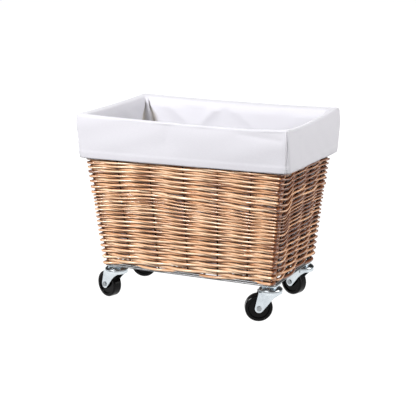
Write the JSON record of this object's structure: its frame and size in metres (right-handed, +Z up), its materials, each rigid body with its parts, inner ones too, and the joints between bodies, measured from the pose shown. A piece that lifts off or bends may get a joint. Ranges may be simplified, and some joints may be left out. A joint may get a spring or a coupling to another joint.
{
  "type": "rolling laundry basket",
  "caption": "Tapered rectangular willow laundry basket woven on a wire frame, with a fold-over cotton liner and swivel castors.",
  "frame": {"origin": "on the floor under the middle of the basket", "axes": "+Z up, +X along the basket's length towards the right in the front view, +Y across it towards the back"},
  "size_m": [0.427, 0.269, 0.369],
  "materials": {
    "frame_wire": "galvanised",
    "stake_wire": "dull galvanised",
    "willow": "peeled willow, satin",
    "cotton": "plain weave cotton",
    "zinc_sheet": "bright zinc plate",
    "rivet_steel": "bright zinc plate",
    "ball_steel": "polished",
    "wheel_black": "moulded, glossy"
  },
  "bodies": {
    "basket": {"base_corner_bends": "frame_wire", "base_wires_long": "frame_wire", "base_wires_cross": "frame_wire", "rim_corner_bends": "frame_wire", "wicker_floor": "willow", "base_rod_front": "frame_wire", "base_rod_back": "frame_wire", "base_rod_left": "frame_wire", "base_rod_right": "frame_wire", "stakes_front": "stake_wire", "stakes_back": "stake_wire", "stakes_left": "stake_wire", "stakes_right": "stake_wire", "rim_rod_front": "frame_wire", "rim_rod_back": "frame_wire", "rim_rod_left": "frame_wire", "rim_rod_right": "frame_wire", "wicker_front": "willow", "wicker_back": "willow", "wicker_left": "willow", "wicker_right": "willow", "castor_fl_plate": "zinc_sheet", "castor_fl_kingpin": "rivet_steel", "castor_fl_balls": "ball_steel", "castor_fr_plate": "zinc_sheet", "castor_fr_kingpin": "rivet_steel", "castor_fr_balls": "ball_steel", "castor_bl_plate": "zinc_sheet", "castor_bl_kingpin": "rivet_steel", "castor_bl_balls": "ball_steel", "castor_br_plate": "zinc_sheet", "castor_br_kingpin": "rivet_steel", "castor_br_balls": "ball_steel"},
    "liner": {"liner_floor": "cotton", "liner_front": "cotton", "liner_back": "cotton", "liner_left": "cotton", "liner_right": "cotton", "liner_fold_front": "cotton", "liner_fold_back": "cotton", "liner_fold_left": "cotton", "liner_fold_right": "cotton", "cuff_front": "cotton", "cuff_back": "cotton", "cuff_left": "cotton", "cuff_right": "cotton"},
    "swivel_fl": {"castor_fl_fork": "zinc_sheet", "castor_fl_axle": "rivet_steel"},
    "wheel_fl": {"castor_fl_wheel": "wheel_black"},
    "swivel_fr": {"castor_fr_fork": "zinc_sheet", "castor_fr_axle": "rivet_steel"},
    "wheel_fr": {"castor_fr_wheel": "wheel_black"},
    "swivel_bl": {"castor_bl_fork": "zinc_sheet", "castor_bl_axle": "rivet_steel"},
    "wheel_bl": {"castor_bl_wheel": "wheel_black"},
    "swivel_br": {"castor_br_fork": "zinc_sheet", "castor_br_axle": "rivet_steel"},
    "wheel_br": {"castor_br_wheel": "wheel_black"}
  },
  "joints": [
    {"name": "liner_lift", "type": "slide", "parent": "basket", "child": "liner", "axis": [0, 0, 1], "range_m": [0, 0.34]},
    {"name": "castor_fl_swivel", "type": "hinge", "parent": "basket", "child": "swivel_fl", "pos_m": [-0.162, -0.0825, 0.06], "axis": [0, 0, 1], "continuous": true},
    {"name": "castor_fl_spin", "type": "hinge", "parent": "swivel_fl", "child": "wheel_fl", "pos_m": [-0.1824, -0.07426, 0.026], "axis": [0.3746, 0.9272, 0], "continuous": true},
    {"name": "castor_fr_swivel", "type": "hinge", "parent": "basket", "child": "swivel_fr", "pos_m": [0.162, -0.0825, 0.06], "axis": [0, 0, 1], "continuous": true},
    {"name": "castor_fr_spin", "type": "hinge", "parent": "swivel_fr", "child": "wheel_fr", "pos_m": [0.14258, -0.09283, 0.026], "axis": [-0.4695, 0.8829, 0], "continuous": true},
    {"name": "castor_bl_swivel", "type": "hinge", "parent": "basket", "child": "swivel_bl", "pos_m": [-0.162, 0.0825, 0.06], "axis": [0, 0, 1], "continuous": true},
    {"name": "castor_bl_spin", "type": "hinge", "parent": "swivel_bl", "child": "wheel_bl", "pos_m": [-0.18325, 0.07681, 0.026], "axis": [-0.2588, 0.9659, 0], "continuous": true},
    {"name": "castor_br_swivel", "type": "hinge", "parent": "basket", "child": "swivel_br", "pos_m": [0.162, 0.0825, 0.06], "axis": [0, 0, 1], "continuous": true},
    {"name": "castor_br_spin", "type": "hinge", "parent": "swivel_br", "child": "wheel_br", "pos_m": [0.14133, 0.09002, 0.026], "axis": [0.342, 0.9397, 0], "continuous": true}
  ]
}
